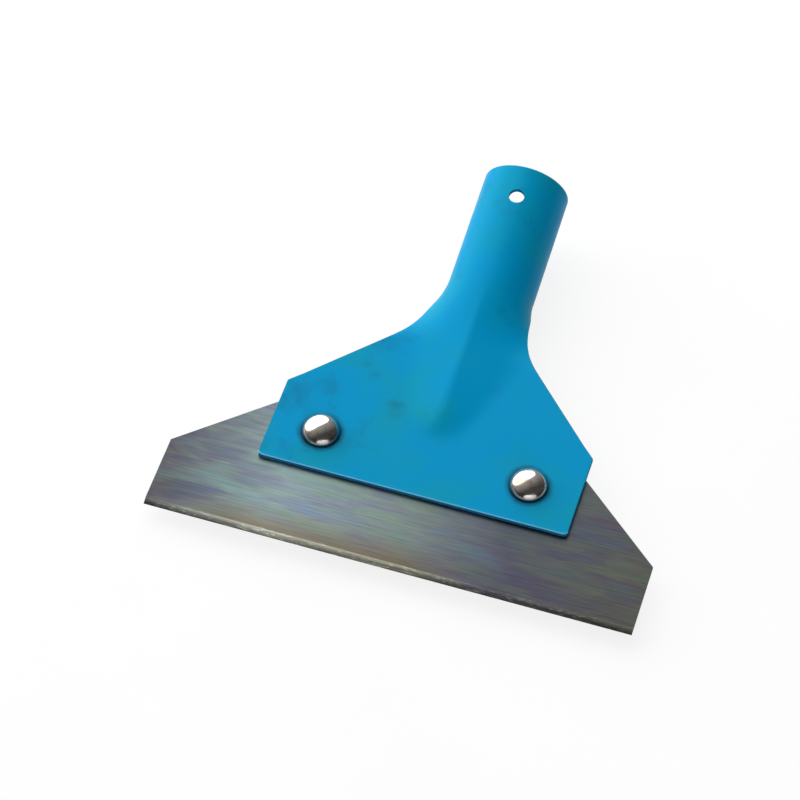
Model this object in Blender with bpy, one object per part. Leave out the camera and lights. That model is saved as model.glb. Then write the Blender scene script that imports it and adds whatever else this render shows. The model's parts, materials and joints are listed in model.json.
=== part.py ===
"""A floor scraper head: a pressed sheet-steel holder with a rolled pole socket, and a bolted blade.

Run it with: blender --background --python part.py

Lengths are in metres and angles in radians. The pieces are modelled in the tool's own axes: X across
the blade, Y from the cutting edge towards the pole, Z out of the holder's front, with zero on the front
of the blade at the middle of its edge. At the end the tool is laid on its back on the ground, +Z up.
"""

import math

import bmesh
import bpy
from mathutils import Matrix, Vector

# Blade: a flat plate of spring steel, ground along its cutting edge
BLADE_WIDTH = 0.200
BLADE_HEIGHT = 0.070
BLADE_SIDE_HEIGHT = 0.0318
BLADE_TOP_WIDTH = 0.113
BLADE_THICKNESS = 0.0015
GRIND_WIDTH = 0.0025
EDGE_LAND = 0.0004

# Holder plate: straight sides, then shoulders that slope in to the neck
SHEET_THICKNESS = 0.0020
EXPOSED_BLADE = 0.03445
PLATE_WIDTH = 0.1286
PLATE_SIDE_HEIGHT = 0.0381
PLATE_CORNER_RADIUS = 0.0018
SHOULDER_ANGLE = math.radians(46.3)
NECK_WIDTH = 0.051
NECK_ROOT_RADIUS = 0.024
RIM_ANGLE = math.radians(20.0)

# Ridge and socket: the plate's middle rises in a blunt nose to a ridge with two straight flanks, then
# bends forward into the front wall of the rolled tube
RIDGE_START_HEIGHT = 0.0255
RIDGE_START_WIDTH = 0.0165
RIDGE_FLARE = math.radians(16.6)
NOSE_RADIUS = 0.022
NOSE_ANGLE = math.radians(18.0)
NOSE_TOP_RADIUS = 0.040
RIDGE_PITCH = math.radians(2.0)
RIDGE_STRAIGHT_RUN = 0.0299
SOCKET_BEND_RADIUS = 0.150
SOCKET_PITCH = math.radians(8.8)
SOCKET_DIAMETER = 0.0367
SOCKET_STRAIGHT_RUN = 0.0721
SEAM_GAP = 0.0006
POLE_SCREW_HOLE = 0.0065
POLE_SCREW_TO_MOUTH = 0.0147

# Bolts: M6, domed head, square neck
BOLT_SPACING = 0.0867
BOLT_ABOVE_PLATE_EDGE = 0.01785
BOLT_PAST_NUT = 0.0028
HEAD_DIAMETER = 0.0160
HEAD_HEIGHT = 0.0058
HEAD_RIM_HEIGHT = 0.0005
SQUARE_NECK_WIDTH = 0.0060
SQUARE_NECK_SHORT_OF_BLADE_BACK = 0.0008
SHANK_DIAMETER = 0.0058
SHANK_END_CHAMFER = 0.0007

# Washers and nuts
FLAT_WASHER_DIAMETER = 0.0120
FLAT_WASHER_THICKNESS = 0.0016
SPRING_WASHER_DIAMETER = 0.0114
SPRING_WASHER_THICKNESS = 0.0016
SPRING_WASHER_SPLIT = 0.0012
SPRING_WASHER_SLANT = 0.0010
NUT_ACROSS_FLATS = 0.0100
NUT_HEIGHT = 0.0050
NUT_CHAMFER_SLOPE = math.radians(30.0)

# Clearance between pieces that touch, and how far each cutter runs past the sheet
CLEARANCE = 0.0003
CUT_OVERRUN = 0.0020

# How finely round shapes are divided
SHEET_COLUMNS = 48
CORNER_ROW_STEP = 0.0006
NOSE_ROW_STEP = 0.0018
RIDGE_ROW_STEP = 0.0035
NECK_ROW_STEP = 0.0025
RIM_ROW_STEP = 0.0012
ROUND_SIDES = 32
NUT_SIDES = 36
DOME_STEPS = 7
SPLIT_RING_STEPS = 28
SMOOTH_ANGLE = math.radians(35.0)

# Shares of the piece that they belong to
RIDGE_FOOT_SHARE = 0.25
NUT_FACE_SHARE = 0.95

# Faces of the stack along Z, from the front of the holder to the end of the bolt
HOLDER_BACK = CLEARANCE
HOLDER_FRONT = HOLDER_BACK + SHEET_THICKNESS
HEAD_SEAT = HOLDER_FRONT + CLEARANCE
FLAT_WASHER_FRONT = -BLADE_THICKNESS - CLEARANCE
SPRING_WASHER_FRONT = FLAT_WASHER_FRONT - FLAT_WASHER_THICKNESS - CLEARANCE
NUT_FRONT = SPRING_WASHER_FRONT - SPRING_WASHER_THICKNESS - CLEARANCE
BOLT_LENGTH = HEAD_SEAT - NUT_FRONT + NUT_HEIGHT + BOLT_PAST_NUT
SQUARE_NECK_LENGTH = HEAD_SEAT + BLADE_THICKNESS - SQUARE_NECK_SHORT_OF_BLADE_BACK

BOLT_HEIGHT = EXPOSED_BLADE + BOLT_ABOVE_PLATE_EDGE
SQUARE_HOLE_WIDTH = SQUARE_NECK_WIDTH + 2 * CLEARANCE
CLEARANCE_BORE = SHANK_DIAMETER + 2 * CLEARANCE
SOCKET_RADIUS = SOCKET_DIAMETER / 2

# Outline of the flat sheet, before it is rolled: where each of its edges ends
ROOT_CENTRE_X = NECK_WIDTH / 2 + NECK_ROOT_RADIUS
ROOT_CENTRE_RUN = (
    PLATE_SIDE_HEIGHT
    + NECK_ROOT_RADIUS / math.cos(SHOULDER_ANGLE)
    + (PLATE_WIDTH / 2 - ROOT_CENTRE_X) * math.tan(SHOULDER_ANGLE)
)
SHOULDER_END_RUN = ROOT_CENTRE_RUN - NECK_ROOT_RADIUS * math.cos(SHOULDER_ANGLE)
RIM_START_RUN = ROOT_CENTRE_RUN + NECK_ROOT_RADIUS * math.cos(RIM_ANGLE)
RIM_START_X = ROOT_CENTRE_X - NECK_ROOT_RADIUS * math.sin(RIM_ANGLE)
SEAM_X = math.pi * SOCKET_RADIUS - SEAM_GAP / 2
SEAM_START_RUN = RIM_START_RUN + (SEAM_X - RIM_START_X) * math.tan(RIM_ANGLE)

# The sheet's front middle line from the plate's lower edge up: the length of each part, and its turn
MIDDLE_LINE = (
    (RIDGE_START_HEIGHT, 0),
    (NOSE_RADIUS * NOSE_ANGLE, NOSE_ANGLE),
    (NOSE_TOP_RADIUS * (NOSE_ANGLE - RIDGE_PITCH), RIDGE_PITCH - NOSE_ANGLE),
    (RIDGE_STRAIGHT_RUN, 0),
    (SOCKET_BEND_RADIUS * (SOCKET_PITCH - RIDGE_PITCH), SOCKET_PITCH - RIDGE_PITCH),
    (SOCKET_STRAIGHT_RUN, 0),
)
NOSE_END_RUN = sum(length for length, turn in MIDDLE_LINE[:3])
MOUTH_RUN = sum(length for length, turn in MIDDLE_LINE)


def clear_scene():
    for obj in list(bpy.data.objects):
        bpy.data.objects.remove(obj, do_unlink=True)


def material(name, colour, metallic, roughness):
    made = bpy.data.materials.new(name)
    made.use_nodes = True
    shader = made.node_tree.nodes["Principled BSDF"]
    shader.inputs["Base Color"].default_value = (*colour, 1)
    shader.inputs["Metallic"].default_value = metallic
    shader.inputs["Roughness"].default_value = roughness
    made.diffuse_color = (*colour, 1)
    return made


def blue_paint():
    return material("blue_paint", (0.006, 0.28, 0.55), 0.0, 0.35)


def blade_steel():
    return material("blade_steel", (0.20, 0.20, 0.19), 1.0, 0.45)


def bright_nickel():
    return material("bright_nickel", (0.72, 0.68, 0.63), 1.0, 0.15)


def zinc_plate():
    return material("zinc_plate", (0.55, 0.56, 0.57), 1.0, 0.35)


def add_object(name, mesh, surface, location=(0, 0, 0)):
    """Puts a mesh in the scene as one named piece, smooth on its round sides."""
    obj = bpy.data.objects.new(name, mesh)
    obj.location = location
    mesh.materials.append(surface)
    mesh.shade_smooth()
    mesh.set_sharp_from_angle(angle=SMOOTH_ANGLE)
    bpy.context.scene.collection.objects.link(obj)
    return obj


def finish_mesh(name, shape):
    """Turns the faces of a bmesh outwards and stores it as a mesh."""
    bmesh.ops.recalc_face_normals(shape, faces=shape.faces)
    mesh = bpy.data.meshes.new(name)
    shape.to_mesh(mesh)
    shape.free()
    return mesh


def loft(name, rings, closed):
    """Joins rings of equal length with side faces. A closed loft ends where it began, as a washer does."""
    shape = bmesh.new()
    loops = [[shape.verts.new(point) for point in ring] for ring in rings]
    pairs = list(zip(loops, loops[1:]))
    if closed:
        pairs.append((loops[-1], loops[0]))
    for lower, upper in pairs:
        for i in range(len(lower)):
            after = (i + 1) % len(lower)
            shape.faces.new((lower[i], lower[after], upper[after], upper[i]))
    if not closed:
        shape.faces.new(loops[0])
        shape.faces.new(loops[-1])
    return finish_mesh(name, shape)


def turns(count):
    return [2 * math.pi * i / count for i in range(count)]


def circle(radius, z, sides=ROUND_SIDES):
    return [(radius * math.cos(a), radius * math.sin(a), z) for a in turns(sides)]


def square(width, z):
    """A square outline with as many points as a circle, so that the two can be joined."""
    ring = []
    for a in turns(ROUND_SIDES):
        reach = width / 2 / max(abs(math.cos(a)), abs(math.sin(a)))
        ring.append((reach * math.cos(a), reach * math.sin(a), z))
    return ring


def cutter(name, mesh, location, turn=None):
    """A shape that only cuts others: it isn't rendered."""
    obj = bpy.data.objects.new(name, mesh)
    obj.location = location
    if turn is not None:
        obj.rotation_euler = turn
    obj.hide_render = True
    obj.display_type = "WIRE"
    bpy.context.scene.collection.objects.link(obj)
    return obj


def cut(target, tool):
    modifier = target.modifiers.new(f"cut_{tool.name}", "BOOLEAN")
    modifier.operation = "DIFFERENCE"
    modifier.object = tool


def sheet_half_width(run):
    """Half the width of the flat sheet at a run up from the plate's lower edge."""
    below_corner = max(PLATE_CORNER_RADIUS - run, 0)
    if below_corner:
        rounding = PLATE_CORNER_RADIUS - math.sqrt(PLATE_CORNER_RADIUS**2 - below_corner**2)
        return PLATE_WIDTH / 2 - rounding
    if run <= PLATE_SIDE_HEIGHT:
        return PLATE_WIDTH / 2
    if run <= SHOULDER_END_RUN:
        return PLATE_WIDTH / 2 - (run - PLATE_SIDE_HEIGHT) / math.tan(SHOULDER_ANGLE)
    if run <= RIM_START_RUN:
        return ROOT_CENTRE_X - math.sqrt(NECK_ROOT_RADIUS**2 - (run - ROOT_CENTRE_RUN) ** 2)
    return min(RIM_START_X + (run - RIM_START_RUN) / math.tan(RIM_ANGLE), SEAM_X)


def centre_line(run):
    """Height above the cutting edge, Z and pitch of the sheet's front middle line."""
    height, z, pitch = EXPOSED_BLADE, HOLDER_FRONT, 0
    for length, full_turn in MIDDLE_LINE:
        part = min(run, length)
        half_turn = full_turn / 2 * part / length
        chord = part * math.sin(half_turn) / half_turn if half_turn else part
        height += chord * math.cos(pitch + half_turn)
        z += chord * math.sin(pitch + half_turn)
        pitch += 2 * half_turn
        run -= part
    return height, z, pitch


def ridge_share(across, run):
    """The share of the ridge's height at a place on the sheet: 1 on its crest and 0 past its foot. The
    flanks are straight, and rounded where they meet the plate."""
    half = RIDGE_START_WIDTH / 2 + max(run - RIDGE_START_HEIGHT, 0) * math.tan(RIDGE_FLARE)
    out = abs(across) / half
    if out < 1 - RIDGE_FOOT_SHARE:
        return 1 - out
    return max(1 + RIDGE_FOOT_SHARE - out, 0) ** 2 / (4 * RIDGE_FOOT_SHARE)


def fold_share(run):
    """How far the sheet is rolled: 0 where the shoulders end, 1 where the tube is full."""
    share = (run - SHOULDER_END_RUN) / (RIM_START_RUN - SHOULDER_END_RUN)
    share = min(max(share, 0), 1)
    return share * share * (3 - 2 * share)


def sheet_point(across, run):
    """A point of the holder's front, from a place on the flat sheet."""
    height, z, pitch = centre_line(run)
    drop = (z - HOLDER_FRONT) / math.cos(pitch) * (1 - ridge_share(across, run))
    turn = across / SOCKET_RADIUS
    rolled = fold_share(run)
    x = (1 - rolled) * across + rolled * SOCKET_RADIUS * math.sin(turn)
    back = (1 - rolled) * drop + rolled * SOCKET_RADIUS * (1 - math.cos(turn))
    return Vector((x, height + back * math.sin(pitch), z - back * math.cos(pitch)))


def row_step(run):
    """The most that rows of points lie apart above this run, where the sheet isn't flat or straight."""
    if run < PLATE_CORNER_RADIUS:
        return CORNER_ROW_STEP
    if run < RIDGE_START_HEIGHT or run >= SEAM_START_RUN:
        return MOUTH_RUN
    if run < NOSE_END_RUN:
        return NOSE_ROW_STEP
    if run < SHOULDER_END_RUN:
        return RIDGE_ROW_STEP
    return NECK_ROW_STEP if run < RIM_START_RUN else RIM_ROW_STEP


def sheet_runs():
    """The runs up the sheet at which its rows of points lie, with one at each corner of the outline."""
    corners = sorted(
        {
            0,
            PLATE_CORNER_RADIUS,
            RIDGE_START_HEIGHT,
            NOSE_END_RUN,
            PLATE_SIDE_HEIGHT,
            SHOULDER_END_RUN,
            RIM_START_RUN,
            SEAM_START_RUN,
            MOUTH_RUN,
        }
    )
    runs = [0]
    for start, end in zip(corners, corners[1:]):
        count = math.ceil((end - start) / row_step(start))
        runs += [start + (end - start) * (i + 1) / count for i in range(count)]
    return runs


def holder_mesh():
    shape = bmesh.new()
    rows = []
    for run in sheet_runs():
        half = sheet_half_width(run)
        columns = [half * (2 * i / SHEET_COLUMNS - 1) for i in range(SHEET_COLUMNS + 1)]
        rows.append([shape.verts.new(sheet_point(across, run)) for across in columns])
    for lower, upper in zip(rows, rows[1:]):
        for i in range(SHEET_COLUMNS):
            shape.faces.new((lower[i], lower[i + 1], upper[i + 1], upper[i]))
    bmesh.ops.triangulate(shape, faces=shape.faces)
    mesh = bpy.data.meshes.new("holder")
    shape.to_mesh(mesh)
    shape.free()
    return mesh


def square_hole_cutter(name, x):
    depth = BLADE_THICKNESS + SHEET_THICKNESS + CLEARANCE + 2 * CUT_OVERRUN
    rings = [square(SQUARE_HOLE_WIDTH, -depth / 2), square(SQUARE_HOLE_WIDTH, depth / 2)]
    middle = (HOLDER_FRONT - BLADE_THICKNESS) / 2
    return cutter(name, loft(name, rings, closed=False), (x, BOLT_HEIGHT, middle))


def pole_screw_cutter():
    """A round cutter through the socket's front wall only."""
    height, z, pitch = centre_line(MOUTH_RUN - POLE_SCREW_TO_MOUTH)
    depth = SHEET_THICKNESS + CUT_OVERRUN
    rings = [circle(POLE_SCREW_HOLE / 2, -depth), circle(POLE_SCREW_HOLE / 2, depth)]
    name = "pole_screw_cutter"
    return cutter(name, loft(name, rings, closed=False), (0, height, z), (pitch, 0, 0))


def make_holder(surface, square_cutters):
    holder = add_object("holder", holder_mesh(), surface)
    wall = holder.modifiers.new("sheet", "SOLIDIFY")
    wall.thickness = SHEET_THICKNESS
    wall.offset = -1
    wall.use_even_offset = True
    for tool in square_cutters:
        cut(holder, tool)
    cut(holder, pole_screw_cutter())
    return holder


def blade_outline():
    half, top = BLADE_WIDTH / 2, BLADE_TOP_WIDTH / 2
    return [
        (-half, 0),
        (half, 0),
        (half, BLADE_SIDE_HEIGHT),
        (top, BLADE_HEIGHT),
        (-top, BLADE_HEIGHT),
        (-half, BLADE_SIDE_HEIGHT),
    ]


def blade_mesh():
    """The blade's plate, with a strip ground off its front along the cutting edge."""
    shape = bmesh.new()
    back = shape.faces.new([shape.verts.new((x, y, -BLADE_THICKNESS)) for x, y in blade_outline()])
    extruded = bmesh.ops.extrude_face_region(shape, geom=[back], use_keep_orig=True)
    raised = [item for item in extruded["geom"] if isinstance(item, bmesh.types.BMVert)]
    bmesh.ops.translate(shape, verts=raised, vec=(0, 0, BLADE_THICKNESS))
    bmesh.ops.recalc_face_normals(shape, faces=shape.faces)
    ground_depth = BLADE_THICKNESS - EDGE_LAND
    everything = shape.verts[:] + shape.edges[:] + shape.faces[:]
    sliced = bmesh.ops.bisect_plane(
        shape,
        geom=everything,
        plane_co=(0, GRIND_WIDTH, 0),
        plane_no=(0, -ground_depth, GRIND_WIDTH),
        clear_outer=True,
    )
    open_edges = [item for item in sliced["geom_cut"] if isinstance(item, bmesh.types.BMEdge)]
    bmesh.ops.contextual_create(shape, geom=open_edges)
    return finish_mesh("blade", shape)


def make_blade(surface, square_cutters):
    blade = add_object("blade", blade_mesh(), surface)
    for tool in square_cutters:
        cut(blade, tool)
    return blade


def bolt_mesh():
    """A domed head, a square neck and a plain shank, along Z with zero under the head."""
    dome_height = HEAD_HEIGHT - HEAD_RIM_HEIGHT
    half = HEAD_DIAMETER / 2
    dome_radius = (half**2 + dome_height**2) / (2 * dome_height)
    widest = math.asin(half / dome_radius)
    rings = []
    for i in range(1, DOME_STEPS + 1):
        lean = widest * i / DOME_STEPS
        z = HEAD_HEIGHT - dome_radius * (1 - math.cos(lean))
        rings.append(circle(dome_radius * math.sin(lean), z))
    rings += [
        circle(half, 0),
        square(SQUARE_NECK_WIDTH, 0),
        square(SQUARE_NECK_WIDTH, -SQUARE_NECK_LENGTH),
        circle(SHANK_DIAMETER / 2, -SQUARE_NECK_LENGTH - CLEARANCE),
        circle(SHANK_DIAMETER / 2, SHANK_END_CHAMFER - BOLT_LENGTH),
        circle(SHANK_DIAMETER / 2 - SHANK_END_CHAMFER, -BOLT_LENGTH),
    ]
    return loft("bolt", rings, closed=False)


def flat_washer_mesh():
    rings = [
        circle(FLAT_WASHER_DIAMETER / 2, 0),
        circle(FLAT_WASHER_DIAMETER / 2, -FLAT_WASHER_THICKNESS),
        circle(CLEARANCE_BORE / 2, -FLAT_WASHER_THICKNESS),
        circle(CLEARANCE_BORE / 2, 0),
    ]
    return loft("flat_washer", rings, closed=True)


def spring_washer_mesh():
    """A ring of square wire, pressed flat, with its slanted split."""
    outer, inner = SPRING_WASHER_DIAMETER / 2, CLEARANCE_BORE / 2
    middle = (outer + inner) / 2
    split = SPRING_WASHER_SPLIT / middle
    slant = SPRING_WASHER_SLANT / middle
    rings = []
    for i in range(SPLIT_RING_STEPS + 1):
        front = split / 2 + (2 * math.pi - split) * i / SPLIT_RING_STEPS
        back = front + slant
        rings.append(
            [
                (outer * math.cos(front), outer * math.sin(front), 0),
                (outer * math.cos(back), outer * math.sin(back), -SPRING_WASHER_THICKNESS),
                (inner * math.cos(back), inner * math.sin(back), -SPRING_WASHER_THICKNESS),
                (inner * math.cos(front), inner * math.sin(front), 0),
            ]
        )
    return loft("spring_washer", rings, closed=False)


def hexagon(face_z, inwards):
    """A hexagon's outline, with its corners cut back by a cone that starts on the nut's flat face."""
    flat = NUT_ACROSS_FLATS / 2
    sixth = math.pi / 3
    ring = []
    for a in turns(NUT_SIDES):
        from_flat = (a + sixth / 2) % sixth - sixth / 2
        reach = flat / math.cos(from_flat)
        cone = (reach - flat * NUT_FACE_SHARE) * math.tan(NUT_CHAMFER_SLOPE)
        ring.append((reach * math.cos(a), reach * math.sin(a), face_z + inwards * cone))
    return ring


def nut_mesh():
    bore = CLEARANCE_BORE / 2
    face = NUT_ACROSS_FLATS / 2 * NUT_FACE_SHARE
    rings = [
        circle(bore, 0, NUT_SIDES),
        circle(face, 0, NUT_SIDES),
        hexagon(0, -1),
        hexagon(-NUT_HEIGHT, 1),
        circle(face, -NUT_HEIGHT, NUT_SIDES),
        circle(bore, -NUT_HEIGHT, NUT_SIDES),
    ]
    return loft("nut", rings, closed=True)


def make_fasteners(bright, plated):
    """A bolt, its two washers and its nut on each side, each with its origin on the bolt's axis."""
    stack = (
        ("bolt", bolt_mesh, bright, HEAD_SEAT),
        ("flat_washer", flat_washer_mesh, plated, FLAT_WASHER_FRONT),
        ("spring_washer", spring_washer_mesh, plated, SPRING_WASHER_FRONT),
        ("nut", nut_mesh, plated, NUT_FRONT),
    )
    made = []
    for side, x in (("left", -BOLT_SPACING / 2), ("right", BOLT_SPACING / 2)):
        for kind, mesh, surface, z in stack:
            made.append(add_object(f"{kind}_{side}", mesh(), surface, (x, BOLT_HEIGHT, z)))
    return made


def solid_triangles(pieces):
    """Every triangle of the finished pieces, in the scene's axes."""
    bpy.context.view_layer.update()
    graph = bpy.context.evaluated_depsgraph_get()
    triangles = []
    for piece in pieces:
        finished = piece.evaluated_get(graph)
        mesh = finished.to_mesh()
        mesh.calc_loop_triangles()
        points = [finished.matrix_world @ vertex.co for vertex in mesh.vertices]
        triangles += [[points[i] for i in triangle.vertices] for triangle in mesh.loop_triangles]
        finished.to_mesh_clear()
    return triangles


def balance_height(triangles):
    """How far up from the cutting edge the tool balances: all of it is steel."""
    total = moment = 0
    for a, b, c in triangles:
        volume = a.dot(b.cross(c)) / 6
        total += volume
        moment += volume * (a.y + b.y + c.y) / 4
    return moment / total


def resting_tilt(triangles):
    """The angle from the tool's Y to the ground it lies on: the lowest line, seen from the side, under
    the point where it balances."""
    points = sorted({(p.y, p.z) for triangle in triangles for p in triangle})
    hull = []
    for y, z in points:
        while len(hull) > 1:
            (y0, z0), (y1, z1) = hull[-2:]
            if (y1 - y0) * (z - z0) > (z1 - z0) * (y - y0):
                break
            hull.pop()
        hull.append((y, z))
    balance = balance_height(triangles)
    for (y0, z0), (y1, z1) in zip(hull, hull[1:]):
        if y0 <= balance <= y1:
            return math.atan2(z1 - z0, y1 - y0)
    return 0


def lay_on_ground(pieces):
    """Hangs the pieces on one empty, and lays it down with the middle of the tool's base at the origin."""
    frame = bpy.data.objects.new("scraper_frame", None)
    bpy.context.scene.collection.objects.link(frame)
    for obj in bpy.context.scene.objects:
        if obj is not frame:
            obj.parent = frame
    triangles = solid_triangles(pieces)
    turn = Matrix.Rotation(-resting_tilt(triangles), 4, "X")
    turned = [turn @ point for triangle in triangles for point in triangle]
    low = Vector([min(point[i] for point in turned) for i in range(3)])
    high = Vector([max(point[i] for point in turned) for i in range(3)])
    frame.matrix_world = Matrix.Translation((-(low.x + high.x) / 2, -(low.y + high.y) / 2, -low.z)) @ turn


def main():
    clear_scene()
    cutters = [
        square_hole_cutter("left_hole_cutter", -BOLT_SPACING / 2),
        square_hole_cutter("right_hole_cutter", BOLT_SPACING / 2),
    ]
    pieces = [make_holder(blue_paint(), cutters), make_blade(blade_steel(), cutters)]
    pieces += make_fasteners(bright_nickel(), zinc_plate())
    lay_on_ground(pieces)


main()
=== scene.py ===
"""A floor scraper head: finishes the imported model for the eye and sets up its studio.

Lengths are in metres. The pieces are worked in the tool's own axes, X across the blade, Y from
the cutting edge towards the pole and Z out of the holder's front, with zero on the front of the
blade at the middle of its edge. Each finished piece is then put where the model has it.
"""

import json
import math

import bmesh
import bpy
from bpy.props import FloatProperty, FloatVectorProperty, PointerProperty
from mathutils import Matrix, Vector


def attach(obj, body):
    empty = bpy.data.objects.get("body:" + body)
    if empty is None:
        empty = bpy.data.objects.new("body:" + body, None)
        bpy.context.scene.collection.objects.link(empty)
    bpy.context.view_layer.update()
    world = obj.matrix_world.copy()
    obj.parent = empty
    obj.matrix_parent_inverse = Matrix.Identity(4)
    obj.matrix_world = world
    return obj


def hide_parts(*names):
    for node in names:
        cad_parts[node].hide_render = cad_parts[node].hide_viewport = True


bl_info = {
    "name": "Floor scraper head",
    "version": (1, 0, 0),
    "blender": (4, 5, 0),
    "location": "3D View > Sidebar > Scraper",
    "description": "Finishes a floor scraper head on its packed model and lights it in a studio",
    "category": "Object",
}

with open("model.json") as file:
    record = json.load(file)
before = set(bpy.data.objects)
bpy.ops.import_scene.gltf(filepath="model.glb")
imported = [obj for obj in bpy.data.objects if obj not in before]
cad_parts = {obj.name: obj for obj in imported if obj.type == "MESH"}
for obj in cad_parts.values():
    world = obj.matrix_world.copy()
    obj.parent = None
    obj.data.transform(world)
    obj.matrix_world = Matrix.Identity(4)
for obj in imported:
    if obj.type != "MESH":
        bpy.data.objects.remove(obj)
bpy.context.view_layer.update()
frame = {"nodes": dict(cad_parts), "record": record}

SIDES = ("left", "right")

# Merging and cleaning of the copied meshes, and which of their edges are rounded
WELD = 0.000002
FLAT_WITHIN = math.radians(0.2)
ARRIS_ANGLE = math.radians(40.0)
SMOOTH_ANGLE = math.radians(35.0)
SCREW_HOLE_REACH = 0.006

# From which share of its normal a face counts as facing a way, and as tipped that way
FACING = 0.5
TIPPED = 0.1

# How finely the turned pieces are divided
HEAD_SIDES = 96
DOME_STEPS = 14
FOOT_RINGS = 4
THREAD_SIDES = 48
THREAD_RINGS_PER_TURN = 6
NUT_ROUND_SIDES = 96

# Where painted light and shade, wear and dirt show: each is full up to its first length and gone at
# its second. The painted shade round a bolt head is measured from its rim, the painted highlight
# along the plate's lower edge from that edge, and the rest from the cutting edge
HEAD_SHADE_RING = (0.0012, 0.0038)
PLATE_EDGE_HIGHLIGHT = (0.001, 0.002)
EDGE_LIGHT_AND_SHADE_REACH = (0.105, 0.124)
CUTTING_EDGE_BROWNED = (0.002, 0.015)
CUTTING_EDGE_NICKED = (0.001, 0.003)

# How far the outline of the painted shade round the heads wavers, how much the smears lessen in
# each metre to the right, and how far the clouds in the oxide shift the blade's ramp of temper
# tints and painted reflection, which runs between the blade's ends
HEAD_SHADE_WAVERS = 0.003
SMEARS_LESSEN = 1.5
TINTS_SHIFT = 0.2
BLADE_ENDS = (-0.1, 0.1)

# The camera, found by fitting the photograph's outline: angles and distance from the tool
CAMERA_TILT = -0.594
CAMERA_SWING = -0.208
CAMERA_ROLL = -0.372
CAMERA_ASIDE = (0.00615, 0.06498)
CAMERA_DISTANCE = 1.2209
FOCAL_LENGTH_MM = 140.86
SENSOR_WIDTH_MM = 36.0

# The soft lights: width and height, then azimuth, elevation and distance. The bright and dark bands
# that the photograph has on the domed heads give their directions
WINDOW_SIZE = (3.0, 2.1)
WINDOW_PLACE = (math.radians(-49), math.radians(37), 1.25)
CAMERA_LIGHT_SIZE = (1.4, 0.5)
CAMERA_LIGHT_PLACE = (math.radians(155), math.radians(9), 1.2)

# The room's light as a share of its strength, away from its window and on the window's side
ROOM_DIM_SIDE = 0.3
ROOM_WINDOW_SIDE = 2.5

# How much of the floor's white is its own light. The rest takes the tool's shadow
FLOOR_OWN_LIGHT = 0.85

# Sockets of the Mix node when it mixes colours
MIX_FACTOR, MIX_A, MIX_B, MIX_RESULT = 0, 6, 7, 2


def linear(hex_colour):
    """The linear colour of an sRGB hex value."""
    channels = [int(hex_colour[i : i + 2], 16) / 255 for i in (1, 3, 5)]
    return tuple(c / 12.92 if c <= 0.04045 else ((c + 0.055) / 1.055) ** 2.4 for c in channels)


def opaque(colour):
    return (*colour, 1.0)


def grey(value):
    return (value, value, value, 1.0)


def per_mm(millimetres):
    """The scale at which a pattern on coordinates in metres repeats about every so many mm."""
    return 1000 / millimetres


class ScraperSizes(bpy.types.PropertyGroup):
    sheet_arris: FloatProperty(
        name="Sheet arris",
        description="Rounding of the pressed sheet's edges under its paint",
        default=0.00035,
        unit="LENGTH",
    )
    blade_arris: FloatProperty(
        name="Blade arris",
        description="Rounding of the sheared edges of the blade",
        default=0.00012,
        unit="LENGTH",
    )
    washer_arris: FloatProperty(
        name="Washer arris",
        description="Rounding of the stamped edges of the washers",
        default=0.00015,
        unit="LENGTH",
    )
    head_width: FloatProperty(
        name="Head width",
        description="Diameter of the domed bolt heads",
        default=0.0160,
        unit="LENGTH",
    )
    head_height: FloatProperty(
        name="Head height",
        description="Height of the domed bolt heads",
        default=0.0058,
        unit="LENGTH",
    )
    head_rim: FloatProperty(
        name="Head rim",
        description="Height of the straight rim under the dome",
        default=0.0005,
        unit="LENGTH",
    )
    square_neck: FloatProperty(
        name="Square neck",
        description="Width of the square neck that keeps a bolt from turning",
        default=0.0060,
        unit="LENGTH",
    )
    square_neck_length: FloatProperty(
        name="Square neck length",
        description="Length of the square neck under the head",
        default=0.0033,
        unit="LENGTH",
    )
    thread_crest: FloatProperty(
        name="Thread crest",
        description="Diameter over the crests of the rolled thread",
        default=0.0058,
        unit="LENGTH",
    )
    thread_depth: FloatProperty(
        name="Thread depth",
        description="Depth of the thread from crest to root",
        default=0.00055,
        unit="LENGTH",
    )
    thread_pitch: FloatProperty(
        name="Thread pitch",
        description="Advance of the thread in one turn",
        default=0.0010,
        unit="LENGTH",
    )
    thread_end: FloatProperty(
        name="Thread end",
        description="Diameter of the bolt's end face inside its chamfer",
        default=0.0044,
        unit="LENGTH",
    )
    nut_bore: FloatProperty(
        name="Nut bore",
        description="Diameter of the hole through a nut",
        default=0.0062,
        unit="LENGTH",
    )
    nut_countersink: FloatProperty(
        name="Nut countersink",
        description="Depth of the chamfer at each end of a nut's hole",
        default=0.00035,
        unit="LENGTH",
    )
    nut_face_share: FloatProperty(
        name="Nut face share",
        description="Width of a nut's flat end face as a share of its width across flats",
        default=0.95,
        subtype="FACTOR",
    )
    nut_chamfer: FloatProperty(
        name="Nut chamfer",
        description="Slope of the cone that cuts back a nut's corners",
        default=math.radians(30.0),
        unit="ROTATION",
    )


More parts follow.
